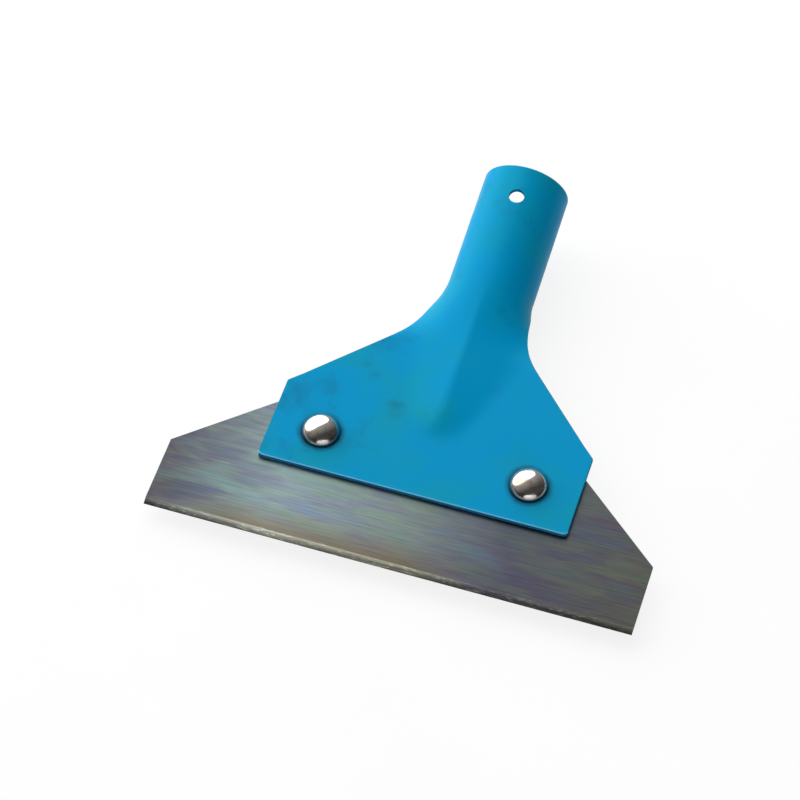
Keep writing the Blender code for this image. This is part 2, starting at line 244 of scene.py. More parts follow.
class ScraperColours(bpy.types.PropertyGroup):
    paint: FloatVectorProperty(
        name="Paint",
        description="Blue enamel of the holder",
        default=linear("#0090C2"),
        subtype="COLOR",
    )
    paint_patch: FloatVectorProperty(
        name="Paint patches",
        description="Greener blue where the enamel lies thinner",
        default=linear("#0C93AE"),
        subtype="COLOR",
    )
    # Painted highlight along the plate's lower arris
    paint_edge_highlight: FloatVectorProperty(
        name="Paint on the lower edge",
        description="Paler blue along the plate's lower edge, where the floor has rubbed it",
        default=linear("#7FCAE8"),
        subtype="COLOR",
    )
    # Painted shade on the sheet's other arrises
    paint_edges_shade: FloatVectorProperty(
        name="Paint on the other edges",
        description="Duller blue on the sheet's other edges, where the enamel drew back",
        default=linear("#1F7C9C"),
        subtype="COLOR",
    )
    # Painted shade on the cut faces across the sheet's thickness
    paint_cut_shade: FloatVectorProperty(
        name="Paint on cut faces",
        description="Deeper blue across the sheet's thickness, where the shears left it rough",
        default=linear("#007CBE"),
        subtype="COLOR",
    )
    steel_pale: FloatVectorProperty(
        name="Pale steel",
        description="Steel of the blade where tempering left it pale",
        default=linear("#6A6E6C"),
        subtype="COLOR",
    )
    temper_blue: FloatVectorProperty(
        name="Temper blue",
        description="Blue temper colour of the blade",
        default=linear("#5B6675"),
        subtype="COLOR",
    )
    temper_purple: FloatVectorProperty(
        name="Temper purple",
        description="Purple temper colour of the blade",
        default=linear("#625E6C"),
        subtype="COLOR",
    )
    temper_green: FloatVectorProperty(
        name="Temper green",
        description="Greenish temper colour of the blade",
        default=linear("#5F706D"),
        subtype="COLOR",
    )
    temper_brown: FloatVectorProperty(
        name="Temper brown",
        description="Brown temper colour along the cutting edge",
        default=linear("#5F4D3F"),
        subtype="COLOR",
    )
    bare_steel: FloatVectorProperty(
        name="Bare steel",
        description="Bare steel in the nicks of the cutting edge",
        default=linear("#B9B7AE"),
        subtype="COLOR",
    )
    nickel: FloatVectorProperty(
        name="Nickel",
        description="Bright plating of the bolts",
        default=linear("#DAD3CA"),
        subtype="COLOR",
    )
    tarnish: FloatVectorProperty(
        name="Tarnish",
        description="Nickel plating where handling has dulled it",
        default=linear("#A3917F"),
        subtype="COLOR",
    )
    # Painted shade: the plate round the bolt heads and the foot of each head are darkened with this
    # colour, which is also the dirt of the smears
    dirt_and_shade: FloatVectorProperty(
        name="Dirt",
        description="Dirt and blue paint round the foot of the bolt heads",
        default=linear("#1E3A4A"),
        subtype="COLOR",
    )
    zinc: FloatVectorProperty(
        name="Zinc",
        description="Bright zinc plating of the washers and nuts",
        default=linear("#C3C8CC"),
        subtype="COLOR",
    )
    zinc_yellow: FloatVectorProperty(
        name="Zinc tint",
        description="Yellowish tint that passivation leaves on zinc",
        default=linear("#CFC9B4"),
        subtype="COLOR",
    )


class ScraperStage(bpy.types.PropertyGroup):
    floor_width: FloatProperty(
        name="Floor width",
        description="Width of the pale floor",
        default=6.0,
        unit="LENGTH",
    )
    window_power: FloatProperty(
        name="Window light",
        description="Power of the large soft light beyond the socket, on the left",
        default=40.0,
        unit="POWER",
    )
    camera_light_power: FloatProperty(
        name="Camera light",
        description="Power of the low soft light on the camera's side",
        default=3.4,
        unit="POWER",
    )
    room_light: FloatProperty(
        name="Room light",
        description="Strength of the light that comes from the room's walls",
        default=0.21,
        min=0.0,
    )


def mount_axis(name):
    found = [mount for mount in frame["record"]["mounts"] if mount["name"] == name]
    return Vector(found[0]["axis"])


def tool_axes():
    """The tool's own X, Y and Z in the model: its bolts point straight out of its back."""
    out_of_front = -mount_axis("bolt_end_left")
    across = Vector((1, 0, 0))
    return across, out_of_front.cross(across), out_of_front


def reach(node, axis):
    """How far a node of the model reaches along an axis, at its lowest and its highest."""
    along = [axis.dot(vertex.co) for vertex in frame["nodes"][node].data.vertices]
    return min(along), max(along)


def tool_place():
    """Turns the tool's own axes to where the model lies, with zero at the middle of the edge."""
    across, upwards, outwards = tool_axes()
    origin = upwards * reach("blade", upwards)[0] + outwards * reach("blade", outwards)[1]
    turn = Matrix((across, upwards, outwards)).transposed().to_4x4()
    return Matrix.Translation(origin) @ turn


TOOL = tool_place()


def tool_box(node):
    """(lowest corner, highest corner) of a node of the model, in the tool's own axes."""
    back = TOOL.inverted()
    points = [back @ vertex.co for vertex in frame["nodes"][node].data.vertices]
    low = Vector([min(point[i] for point in points) for i in range(3)])
    high = Vector([max(point[i] for point in points) for i in range(3)])
    return low, high


def deselect_all():
    if bpy.context.mode != "OBJECT":
        bpy.ops.object.mode_set(mode="OBJECT")
    bpy.ops.object.select_all(action="DESELECT")


def make_active(piece):
    deselect_all()
    piece.select_set(True)
    bpy.context.view_layer.objects.active = piece


def pick_faces(piece, wanted):
    """Selects the faces whose centre and normal are wanted. The piece is in edit mode."""
    bpy.ops.mesh.select_mode(type="FACE")
    bpy.ops.mesh.select_all(action="DESELECT")
    shape = bmesh.from_edit_mesh(piece.data)
    for face in shape.faces:
        face.select_set(wanted(face.calc_center_median(), face.normal))
    bmesh.update_edit_mesh(piece.data)


def pick_edges(piece, wanted):
    """Selects the wanted edges. The piece is in edit mode."""
    bpy.ops.mesh.select_mode(type="EDGE")
    bpy.ops.mesh.select_all(action="DESELECT")
    shape = bmesh.from_edit_mesh(piece.data)
    for edge in shape.edges:
        edge.select_set(wanted(edge))
    bmesh.update_edit_mesh(piece.data)


def edge_height(edge):
    """How far an edge runs along Z."""
    return abs(edge.verts[0].co.z - edge.verts[1].co.z)


def mark_faces(piece, name, wanted):
    """Gives the faces a number for their material: 1 where fully wanted and 0 where not at all."""
    marks = piece.data.attributes.new(name, "FLOAT", "FACE")
    for mark, face in zip(marks.data, piece.data.polygons):
        mark.value = float(wanted(face))


def round_arrises(piece, width, segments=3, spared=lambda point: False):
    """Rounds the sharp edges that don't start at a spared point, and marks the rounded faces with 1
    in the attribute called arris."""
    while len(piece.data.materials) < 2:
        piece.data.materials.append(None)
    make_active(piece)
    bpy.ops.object.mode_set(mode="EDIT")
    pick_edges(
        piece,
        lambda edge: edge.calc_face_angle(0) > ARRIS_ANGLE and not spared(edge.verts[0].co),
    )
    bpy.ops.mesh.bevel(offset=width, segments=segments, material=1)
    bpy.ops.object.mode_set(mode="OBJECT")
    mark_faces(piece, "arris", lambda face: face.material_index == 1)
    for face in piece.data.polygons:
        face.material_index = 0
    piece.data.materials.clear()


def join_solids(piece, other, operation):
    """Joins or cuts one solid by another, which is used up."""
    modifier = piece.modifiers.new(operation.lower(), "BOOLEAN")
    modifier.operation = operation
    modifier.solver = "EXACT"
    modifier.object = other
    make_active(piece)
    bpy.ops.object.modifier_apply(modifier=modifier.name)
    bpy.data.objects.remove(other, do_unlink=True)


def copy_of_node(node, name):
    """A copy of a node of the model, with its triangles merged and its flat faces made whole."""
    piece = bpy.data.objects.new(name, frame["nodes"][node].data.copy())
    piece.data.materials.clear()
    bpy.context.scene.collection.objects.link(piece)
    make_active(piece)
    bpy.ops.mesh.customdata_custom_splitnormals_clear()
    bpy.ops.object.mode_set(mode="EDIT")
    bpy.ops.mesh.select_all(action="SELECT")
    bpy.ops.mesh.remove_doubles(threshold=WELD)
    bpy.ops.mesh.dissolve_limited(angle_limit=FLAT_WITHIN)
    bpy.ops.object.mode_set(mode="OBJECT")
    return piece


def put_in_place(piece, place):
    """Moves a piece from the tool's own axes to the model, with its place in its mesh."""
    make_active(piece)
    piece.matrix_world = TOOL @ Matrix.Translation(place)
    bpy.ops.object.transform_apply(location=True, rotation=True, scale=True)


def copy_of(piece, name):
    make_active(piece)
    bpy.ops.object.duplicate(linked=False)
    twin = bpy.context.view_layer.objects.active
    twin.name = name
    return twin


def finish_surface(piece, surface):
    """Shades the round faces smooth, keeps the flat ones flat, and gives the piece its material."""
    make_active(piece)
    bpy.ops.object.shade_smooth_by_angle(angle=SMOOTH_ANGLE)
    evening = piece.modifiers.new("even shading", "WEIGHTED_NORMAL")
    evening.keep_sharp = True
    bpy.ops.object.modifier_apply(modifier=evening.name)
    piece.data.materials.append(surface)


def stand_for(piece, node, body):
    """The piece stands for a node of the model, which it hides, and moves with its body."""
    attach(piece, body)
    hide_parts(node)


def add(tree, kind, inputs=None, stops=None, **settings):
    """Adds a node. An input that is another node's output is linked, and any other is set."""
    node = tree.nodes.new(kind)
    for name, value in settings.items():
        setattr(node, name, value)
    for key, value in (inputs or {}).items():
        if isinstance(value, bpy.types.NodeSocket):
            tree.links.new(value, node.inputs[key])
        else:
            node.inputs[key].default_value = value
    if stops:
        ramp = node.color_ramp.elements
        while len(ramp) < len(stops):
            ramp.new(1.0)
        for element, (position, colour) in zip(ramp, stops):
            element.position = position
            element.color = colour
    return node


def new_material(name, colour):
    """A material with its node tree, its shader and where a point lies in the tool's own axes."""
    surface = bpy.data.materials.new(name)
    surface.use_nodes = True
    surface.diffuse_color = opaque(colour)
    tree = surface.node_tree
    shader = tree.nodes["Principled BSDF"]
    coordinates = add(tree, "ShaderNodeTexCoord")
    place = add(
        tree,
        "ShaderNodeMapping",
        {
            "Vector": coordinates.outputs["Object"],
            "Location": TOOL.translation,
            "Rotation": TOOL.to_euler(),
        },
        vector_type="TEXTURE",
    )
    return surface, tree, shader, place.outputs["Vector"]


def blue_enamel(colours):
    """Sprayed enamel on pressed steel: an even gloss with a slight orange peel, greener in broad
    patches where it lies thinner, and faintly smeared, most on the left. Painted shade darkens the
    sheet's arrises, the cut faces between them and a ring of the plate round each bolt head, and a
    painted highlight makes the lower arris pale."""
    surface, tree, shader, place = new_material("blue_enamel", colours.paint)
    patches = add(
        tree,
        "ShaderNodeTexNoise",
        {"Vector": place, "W": 4.0, "Scale": per_mm(32), "Detail": 3.0},
        noise_dimensions="4D",
    )
    thin = add(
        tree,
        "ShaderNodeValToRGB",
        {"Fac": patches.outputs["Fac"]},
        stops=[(0.45, opaque(colours.paint)), (0.68, opaque(colours.paint_patch))],
    )
    cloud = add(tree, "ShaderNodeTexNoise", {"Vector": place, "Scale": per_mm(9), "Detail": 4.0})
    apart = add(tree, "ShaderNodeSeparateXYZ", {"Vector": place})
    aside = add(tree, "ShaderNodeMath", {0: apart.outputs["X"]}, operation="ABSOLUTE")
    # The sheet is folded in thought along its middle, so that one head stands for both
    folded = add(
        tree,
        "ShaderNodeCombineXYZ",
        {"X": aside.outputs["Value"], "Y": apart.outputs["Y"]},
    )
    low, high = tool_box("bolt_right")
    head = Vector((low.x + high.x, low.y + high.y, 0)) / 2
    rim = (high.x - low.x) / 2
    from_head = add(
        tree,
        "ShaderNodeVectorMath",
        {0: folded.outputs["Vector"], 1: head},
        operation="DISTANCE",
    )
    uneven = add(
        tree,
        "ShaderNodeMath",
        {0: cloud.outputs["Fac"], 1: HEAD_SHADE_WAVERS, 2: from_head.outputs["Value"]},
        operation="MULTIPLY_ADD",
    )
    # Painted shade: a dark ring on the plate round each bolt head, with a wavering outline
    head_shade = add(
        tree,
        "ShaderNodeMapRange",
        {
            "Value": uneven.outputs["Value"],
            "From Min": rim + HEAD_SHADE_RING[0],
            "From Max": rim + HEAD_SHADE_RING[1],
            "To Min": 0.8,
            "To Max": 0.0,
        },
    )
    smears = add(
        tree,
        "ShaderNodeTexNoise",
        {"Vector": place, "W": 7.0, "Scale": per_mm(12), "Detail": 5.0, "Roughness": 0.6},
        noise_dimensions="4D",
    )
    more_left = add(
        tree,
        "ShaderNodeMath",
        {0: apart.outputs["X"], 1: -SMEARS_LESSEN, 2: smears.outputs["Fac"]},
        operation="MULTIPLY_ADD",
    )
    smeared = add(
        tree,
        "ShaderNodeMapRange",
        {"Value": more_left.outputs["Value"], "From Min": 0.58, "From Max": 0.76, "To Max": 0.3},
    )
    soil_and_shade = add(
        tree,
        "ShaderNodeMath",
        {0: head_shade.outputs["Result"], 1: smeared.outputs["Result"]},
        operation="MAXIMUM",
    )
    dirty_and_shaded = add(
        tree,
        "ShaderNodeMix",
        {
            MIX_FACTOR: soil_and_shade.outputs["Value"],
            MIX_A: thin.outputs["Color"],
            MIX_B: opaque(colours.dirt_and_shade),
        },
        data_type="RGBA",
    )
    # The painted light and shade of the sheet's edges stay on the plate, below the socket
    on_plate = add(
        tree,
        "ShaderNodeMapRange",
        {
            "Value": apart.outputs["Y"],
            "From Min": EDGE_LIGHT_AND_SHADE_REACH[0],
            "From Max": EDGE_LIGHT_AND_SHADE_REACH[1],
            "To Min": 1.0,
            "To Max": 0.0,
        },
    )
    # A painted highlight on the lowest arris, along the plate's lower edge
    plate_edge = tool_box("holder")[0].y
    lower_edge_lit = add(
        tree,
        "ShaderNodeMapRange",
        {
            "Value": apart.outputs["Y"],
            "From Min": plate_edge + PLATE_EDGE_HIGHLIGHT[0],
            "From Max": plate_edge + PLATE_EDGE_HIGHLIGHT[1],
        },
    )
    edges = add(
        tree,
        "ShaderNodeMix",
        {
            MIX_FACTOR: lower_edge_lit.outputs["Result"],
            MIX_A: opaque(colours.paint_edge_highlight),
            MIX_B: opaque(colours.paint_edges_shade),
        },
        data_type="RGBA",
    )
    painted = dirty_and_shaded
    # Painted light and shade on the plate's edges: a highlight along the lower arris, and shade on
    # the other arrises and on the cut faces
    for name, colour in (("arris", edges.outputs[MIX_RESULT]), ("cut", opaque(colours.paint_cut_shade))):
        edge = add(tree, "ShaderNodeAttribute", attribute_name=name)
        share = add(
            tree,
            "ShaderNodeMath",
            {0: edge.outputs["Fac"], 1: on_plate.outputs["Result"]},
            operation="MULTIPLY",
        )
        painted = add(
            tree,
            "ShaderNodeMix",
            {MIX_FACTOR: share.outputs["Value"], MIX_A: painted.outputs[MIX_RESULT], MIX_B: colour},
            data_type="RGBA",
        )
    gloss = add(
        tree,
        "ShaderNodeMapRange",
        {
            "Value": cloud.outputs["Fac"],
            "From Min": 0.3,
            "From Max": 0.7,
            "To Min": 0.26,
            "To Max": 0.38,
        },
    )
    peel = add(tree, "ShaderNodeTexNoise", {"Vector": place, "Scale": per_mm(1.3), "Detail": 1.0})
    bump = add(
        tree,
        "ShaderNodeBump",
        {"Height": peel.outputs["Fac"], "Strength": 0.25, "Distance": 0.00004},
    )
    tree.links.new(painted.outputs[MIX_RESULT], shader.inputs["Base Color"])
    tree.links.new(gloss.outputs["Result"], shader.inputs["Roughness"])
    tree.links.new(bump.outputs["Normal"], shader.inputs["Normal"])
    # The white room would wash the blue out, so little of it is mirrored
    shader.inputs["IOR"].default_value = 1.5
    shader.inputs["Specular IOR Level"].default_value = 0.025
    return surface


def tempered_steel(colours):
    """Cold-rolled spring steel, hardened and tempered in strip: long streaks and broad clouds of
    blue, purple, green and brown oxide, browner along the ground edge, with bare steel there where
    it has worked, and small bright nicks. A ramp along the blade paints a broad reflection on it,
    paler left of the middle and darker towards both ends, with slight temper tints in it."""
    surface, tree, shader, place = new_material("tempered_spring_steel", colours.steel_pale)
    cloud_place = add(tree, "ShaderNodeMapping", {"Vector": place, "Scale": (0.35, 1.0, 1.0)})
    clouds = add(
        tree,
        "ShaderNodeTexNoise",
        {
            "Vector": cloud_place.outputs["Vector"],
            "Scale": per_mm(11),
            "Detail": 3.0,
            "Distortion": 0.4,
        },
    )
    broad = add(
        tree,
        "ShaderNodeValToRGB",
        {"Fac": clouds.outputs["Fac"]},
        stops=[
            (0.34, opaque(colours.temper_blue)),
            (0.44, opaque(colours.temper_purple)),
            (0.52, opaque(colours.steel_pale)),
            (0.64, opaque(colours.temper_green)),
        ],
    )
    streak_place = add(tree, "ShaderNodeMapping", {"Vector": place, "Scale": (0.14, 1.0, 1.0)})
    streaks = add(
        tree,
        "ShaderNodeTexNoise",
        {
            "Vector": streak_place.outputs["Vector"],
            "Scale": per_mm(3.2),
            "Detail": 4.0,
            "Roughness": 0.6,
        },
    )
    narrow = add(
        tree,
        "ShaderNodeValToRGB",
        {"Fac": streaks.outputs["Fac"]},
        stops=[
            (0.30, opaque(colours.temper_purple)),
            (0.44, opaque(colours.temper_blue)),
            (0.56, opaque(colours.temper_green)),
            (0.70, opaque(colours.steel_pale)),
        ],
    )
    oxide = add(
        tree,
        "ShaderNodeMix",
        {MIX_FACTOR: 0.5, MIX_A: broad.outputs["Color"], MIX_B: narrow.outputs["Color"]},
        data_type="RGBA",
    )
    apart = add(tree, "ShaderNodeSeparateXYZ", {"Vector": place})
    # A ramp along the blade paints a broad reflection, paler left of its middle and darker towards
    # both of its ends, with slight temper tints in it
    along = add(
        tree,
        "ShaderNodeMapRange",
        {
            "Value": apart.outputs["X"],
            "From Min": BLADE_ENDS[0],
            "From Max": BLADE_ENDS[1],
            "To Min": -0.1,
            "To Max": 0.9,
        },
    )
    uneven = add(
        tree,
        "ShaderNodeMath",
        {0: clouds.outputs["Fac"], 1: TINTS_SHIFT, 2: along.outputs["Result"]},
        operation="MULTIPLY_ADD",
    )
    reflection_ramp = add(
        tree,
        "ShaderNodeValToRGB",
        {"Fac": uneven.outputs["Value"]},
        stops=[
            (0.00, (0.42, 0.37, 0.39, 1.0)),
            (0.25, (1.04, 1.18, 1.14, 1.0)),
            (0.50, (0.83, 0.90, 0.80, 1.0)),
            (0.72, (0.44, 0.40, 0.46, 1.0)),
            (1.00, (0.51, 0.46, 0.37, 1.0)),
        ],
    )
    warmth = add(
        tree,
        "ShaderNodeValToRGB",
        {"Fac": uneven.outputs["Value"]},
        stops=[(0.04, grey(0.15)), (0.20, grey(1.0)), (0.52, grey(1.0)), (0.68, grey(0.1))],
    )
    near_edge = add(
        tree,
        "ShaderNodeMapRange",
        {
            "Value": apart.outputs["Y"],
            "From Min": CUTTING_EDGE_BROWNED[0],
            "From Max": CUTTING_EDGE_BROWNED[1],
            "To Min": 0.85,
            "To Max": 0.0,
        },
    )
    browned = add(
        tree,
        "ShaderNodeMath",
        {0: near_edge.outputs["Result"], 1: warmth.outputs["Color"]},
        operation="MULTIPLY",
    )
    warm = add(
        tree,
        "ShaderNodeMix",
        {
            MIX_FACTOR: browned.outputs["Value"],
            MIX_A: oxide.outputs[MIX_RESULT],
            MIX_B: opaque(colours.temper_brown),
        },
        data_type="RGBA",
    )
    nick_place = add(
        tree,
        "ShaderNodeMapping",
        {"Vector": place, "Rotation": (0.0, 0.0, math.radians(-12)), "Scale": (0.22, 1.0, 1.0)},
    )
    nick_noise = add(
        tree,
        "ShaderNodeTexNoise",
        {"Vector": nick_place.outputs["Vector"], "Scale": per_mm(0.6), "Detail": 1.0},
    )
    at_edge = add(
        tree,
        "ShaderNodeMapRange",
        {
            "Value": apart.outputs["Y"],
            "From Min": CUTTING_EDGE_NICKED[0],
            "From Max": CUTTING_EDGE_NICKED[1],
            "To Min": 0.6,
            "To Max": 0.0,
        },
    )
    struck = add(
        tree,
        "ShaderNodeMapRange",
        {"Value": nick_noise.outputs["Fac"], "From Min": 0.57, "From Max": 0.68},
    )
    nicks = add(
        tree,
        "ShaderNodeMath",
        {0: struck.outputs["Result"], 1: at_edge.outputs["Result"]},
        operation="MULTIPLY",
    )
    ground = add(tree, "ShaderNodeAttribute", attribute_name="ground")
    worn = add(
        tree,
        "ShaderNodeMapRange",
        {"Value": warmth.outputs["Color"], "To Min": 0.06, "To Max": 0.35},
    )
    bared = add(
        tree,
        "ShaderNodeMath",
        {0: ground.outputs["Fac"], 1: worn.outputs["Result"], 2: nicks.outputs["Value"]},
        operation="MULTIPLY_ADD",
    )
    bare = add(
        tree,
        "ShaderNodeMix",
        {
            MIX_FACTOR: bared.outputs["Value"],
            MIX_A: warm.outputs[MIX_RESULT],
            MIX_B: opaque(colours.bare_steel),
        },
        data_type="RGBA",
    )
    tempered = add(
        tree,
        "ShaderNodeMix",
        {MIX_FACTOR: 1.0, MIX_A: bare.outputs[MIX_RESULT], MIX_B: reflection_ramp.outputs["Color"]},
        data_type="RGBA",
        blend_type="MULTIPLY",
    )
    # Rolling lines are finer than a camera shows here, so they are drawn at almost a millimetre
    line_place = add(tree, "ShaderNodeMapping", {"Vector": place, "Scale": (0.045, 1.0, 1.0)})
    lines = add(
        tree,
        "ShaderNodeTexNoise",
        {
            "Vector": line_place.outputs["Vector"],
            "Scale": per_mm(0.85),
            "Detail": 3.0,
            "Roughness": 0.6,
        },
    )
    line_shade = add(
        tree,
        "ShaderNodeValToRGB",
        {"Fac": lines.outputs["Fac"]},
        stops=[(0.32, grey(0.74)), (0.68, grey(1.22))],
    )
    lined = add(
        tree,
        "ShaderNodeMix",
        {MIX_FACTOR: 1.0, MIX_A: tempered.outputs[MIX_RESULT], MIX_B: line_shade.outputs["Color"]},
        data_type="RGBA",
        blend_type="MULTIPLY",
    )
    roughness = add(
        tree,
        "ShaderNodeMapRange",
        {
            "Value": lines.outputs["Fac"],
            "From Min": 0.3,
            "From Max": 0.7,
            "To Min": 0.34,
            "To Max": 0.48,
        },
    )
    bump = add(
        tree,
        "ShaderNodeBump",
        {"Height": lines.outputs["Fac"], "Strength": 0.35, "Distance": 0.00003},
    )
    tree.links.new(lined.outputs[MIX_RESULT], shader.inputs["Base Color"])
    tree.links.new(roughness.outputs["Result"], shader.inputs["Roughness"])
    tree.links.new(bump.outputs["Normal"], shader.inputs["Normal"])
    shader.inputs["Metallic"].default_value = 1.0
    return surface


def bright_nickel(colours):
    """Nickel plate on a cold-headed bolt: a warm mirror, dulled in small clouds by handling, with
    painted shade and a painted dark reflection of the blue plate round the foot of the head."""
    surface, tree, shader, place = new_material("bright_nickel_plate", colours.nickel)
    handling = add(tree, "ShaderNodeTexNoise", {"Vector": place, "Scale": per_mm(4), "Detail": 5.0})
    dull = add(
        tree,
        "ShaderNodeMapRange",
        {
            "Value": handling.outputs["Fac"],
            "From Min": 0.35,
            "From Max": 0.7,
            "To Min": 0.10,
            "To Max": 0.22,
        },
    )
    tarnish = add(
        tree,
        "ShaderNodeValToRGB",
        {"Fac": handling.outputs["Fac"]},
        stops=[(0.5, opaque(colours.nickel)), (0.75, opaque(colours.tarnish))],
    )
    # Painted shade and a painted dark reflection of the plate on the faces at the foot of the head
    foot = add(tree, "ShaderNodeAttribute", attribute_name="foot")
    foot_shaded = add(
        tree,
        "ShaderNodeMix",
        {
            MIX_FACTOR: foot.outputs["Fac"],
            MIX_A: tarnish.outputs["Color"],
            MIX_B: opaque(colours.dirt_and_shade),
        },
        data_type="RGBA",
    )
    tree.links.new(foot_shaded.outputs[MIX_RESULT], shader.inputs["Base Color"])
    tree.links.new(dull.outputs["Result"], shader.inputs["Roughness"])
    shader.inputs["Metallic"].default_value = 1.0
    return surface


def passivated_zinc(colours):
    """Electroplated zinc on stamped steel: pale and satin, with a faint yellow mottle where the
    passivation is thicker."""
    surface, tree, shader, place = new_material("passivated_zinc_plate", colours.zinc)
    mottle = add(tree, "ShaderNodeTexNoise", {"Vector": place, "Scale": per_mm(3), "Detail": 4.0})
    tint = add(
        tree,
        "ShaderNodeValToRGB",
        {"Fac": mottle.outputs["Fac"]},
        stops=[(0.42, opaque(colours.zinc)), (0.66, opaque(colours.zinc_yellow))],
    )
    grain = add(tree, "ShaderNodeTexNoise", {"Vector": place, "Scale": per_mm(0.25), "Detail": 2.0})
    satin = add(
        tree,
        "ShaderNodeMapRange",
        {
            "Value": grain.outputs["Fac"],
            "From Min": 0.3,
            "From Max": 0.7,
            "To Min": 0.26,
            "To Max": 0.40,
        },
    )
    bump = add(
        tree,
        "ShaderNodeBump",
        {"Height": grain.outputs["Fac"], "Strength": 0.2, "Distance": 0.00002},
    )
    tree.links.new(tint.outputs["Color"], shader.inputs["Base Color"])
    tree.links.new(satin.outputs["Result"], shader.inputs["Roughness"])
    tree.links.new(bump.outputs["Normal"], shader.inputs["Normal"])
    shader.inputs["Metallic"].default_value = 1.0
    return surface


def shared_zinc(colours):
    """The zinc plating is one material for the washers and the nuts."""
    return bpy.data.materials.get("passivated_zinc_plate") or passivated_zinc(colours)


def screw_hole_middle():
    """The middle of the punched hole for the pole's screw, whose rim stays sharp."""
    openings = frame["record"]["physics"]["openings"]
    found = [opening for opening in openings if opening["name"] == "pole_screw_hole"]
    low, high = found[0]["box_m"]
    return (Vector(low) + Vector(high)) / 2


class SCRAPER_OT_holder(bpy.types.Operator):
    """Finish the pressed holder with its rolled socket"""

    bl_idname = "scraper.holder"
    bl_label = "Holder"

    def execute(self, context):
        piece = copy_of_node("holder", "painted_holder")
        outwards = tool_axes()[2]
        hole = screw_hole_middle()
        round_arrises(
            piece,
            context.scene.scraper_sizes.sheet_arris,
            spared=lambda point: (point - hole).length < SCREW_HOLE_REACH,
        )
        arris = [mark.value for mark in piece.data.attributes["arris"].data]
        # The cut faces across the sheet's thickness are marked for their painted shade
        mark_faces(
            piece,
            "cut",
            lambda face: not arris[face.index] and abs(face.normal @ outwards) < FACING,
        )
        finish_surface(piece, blue_enamel(context.scene.scraper_colours))
        stand_for(piece, "holder", "scraper")
        return {"FINISHED"}


class SCRAPER_OT_blade(bpy.types.Operator):
    """Finish the flat blade with its ground edge"""

    bl_idname = "scraper.blade"
    bl_label = "Blade"

    def execute(self, context):
        piece = copy_of_node("blade", "tempered_blade")
        upwards, outwards = tool_axes()[1:]
        round_arrises(piece, context.scene.scraper_sizes.blade_arris, segments=2)
        mark_faces(
            piece,
            "ground",
            lambda face: face.normal @ outwards > FACING and face.normal @ upwards < -TIPPED,
        )
        finish_surface(piece, tempered_steel(context.scene.scraper_colours))
        stand_for(piece, "blade", "scraper")
        return {"FINISHED"}


def bar(sides, radius, bottom, top):
    """A straight bar along Z, with a corner towards Y, to start a piece from."""
    deselect_all()
    bpy.ops.mesh.primitive_cylinder_add(
        vertices=sides,
        radius=radius,
        depth=top - bottom,
        location=(0, 0, (bottom + top) / 2),
    )
    bpy.ops.object.transform_apply(location=True)
    return bpy.context.view_layer.objects.active


def scale_round_axis(share):
    """Draws what is selected in towards the Z axis, or out from it."""
    bpy.ops.transform.resize(value=(share, share, 1), center_override=(0, 0, 0))


def dome_rings(sizes):
    """(radius, height) of each ring of the domed head, from its rim to its top."""
    half = sizes.head_width / 2
    rise = sizes.head_height - sizes.head_rim
    ball = (half**2 + rise**2) / (2 * rise)
    widest = math.asin(half / ball)
    leans = [widest * (1 - i / DOME_STEPS) for i in range(DOME_STEPS + 1)]
    return [(ball * math.sin(a), sizes.head_height - ball * (1 - math.cos(a))) for a in leans]


def domed_head(sizes):
    """A cold-headed dome: a short round bar, drawn up and in ring by ring to its top."""
    head = bar(HEAD_SIDES, sizes.head_width / 2, 0, sizes.head_rim)
    bpy.ops.object.mode_set(mode="EDIT")
    pick_faces(head, lambda centre, normal: normal.z > math.cos(SMOOTH_ANGLE))
    rings = dome_rings(sizes)
    for (radius, height), (next_radius, next_height) in zip(rings, rings[1:]):
        rise = (0, 0, next_height - height)
        bpy.ops.mesh.extrude_region_move(TRANSFORM_OT_translate={"value": rise})
        if next_radius > WELD:
            scale_round_axis(next_radius / radius)
    bpy.ops.mesh.merge(type="CENTER")
    bpy.ops.object.mode_set(mode="OBJECT")
    return head


def square_neck(sizes):
    """The square under the head, with its four long edges rounded as the die leaves them."""
    deselect_all()
    top = sizes.head_rim / 2
    length = sizes.square_neck_length + top
    bpy.ops.mesh.primitive_cube_add(
        size=1,
        location=(0, 0, top - length / 2),
        scale=(sizes.square_neck, sizes.square_neck, length),
    )
    neck = bpy.context.view_layer.objects.active
    bpy.ops.object.transform_apply(location=True, scale=True)
    bpy.ops.object.mode_set(mode="EDIT")
    pick_edges(neck, lambda edge: edge_height(edge) > length / 2)
    bpy.ops.mesh.bevel(offset=sizes.sheet_arris, segments=3)
    bpy.ops.object.mode_set(mode="OBJECT")
    return neck


def threaded_rod(sizes, end):
    """A round bar from inside the neck down to the bolt's end, with a right-hand thread: the bar is
    cut into fine rings, and each of its points is moved in or out to lie on the thread."""
    top = -sizes.square_neck_length / 2
    crest = sizes.thread_crest / 2
    rod = bar(THREAD_SIDES, crest, end, top)
    bpy.ops.object.mode_set(mode="EDIT")
    pick_edges(rod, lambda edge: edge_height(edge) > (top - end) / 2)
    rings = math.ceil((top - end) / sizes.thread_pitch * THREAD_RINGS_PER_TURN)
    bpy.ops.mesh.subdivide(number_cuts=rings)
    bpy.ops.object.mode_set(mode="OBJECT")
    for vertex in rod.data.vertices:
        turned = math.atan2(vertex.co.y, vertex.co.x) / (2 * math.pi)
        phase = (vertex.co.z / sizes.thread_pitch - turned) % 1
        radius = crest - sizes.thread_depth * abs(2 * phase - 1)
        radius = min(radius, sizes.thread_end / 2 + vertex.co.z - end)
        vertex.co.xy = vertex.co.xy.normalized() * radius
    return rod


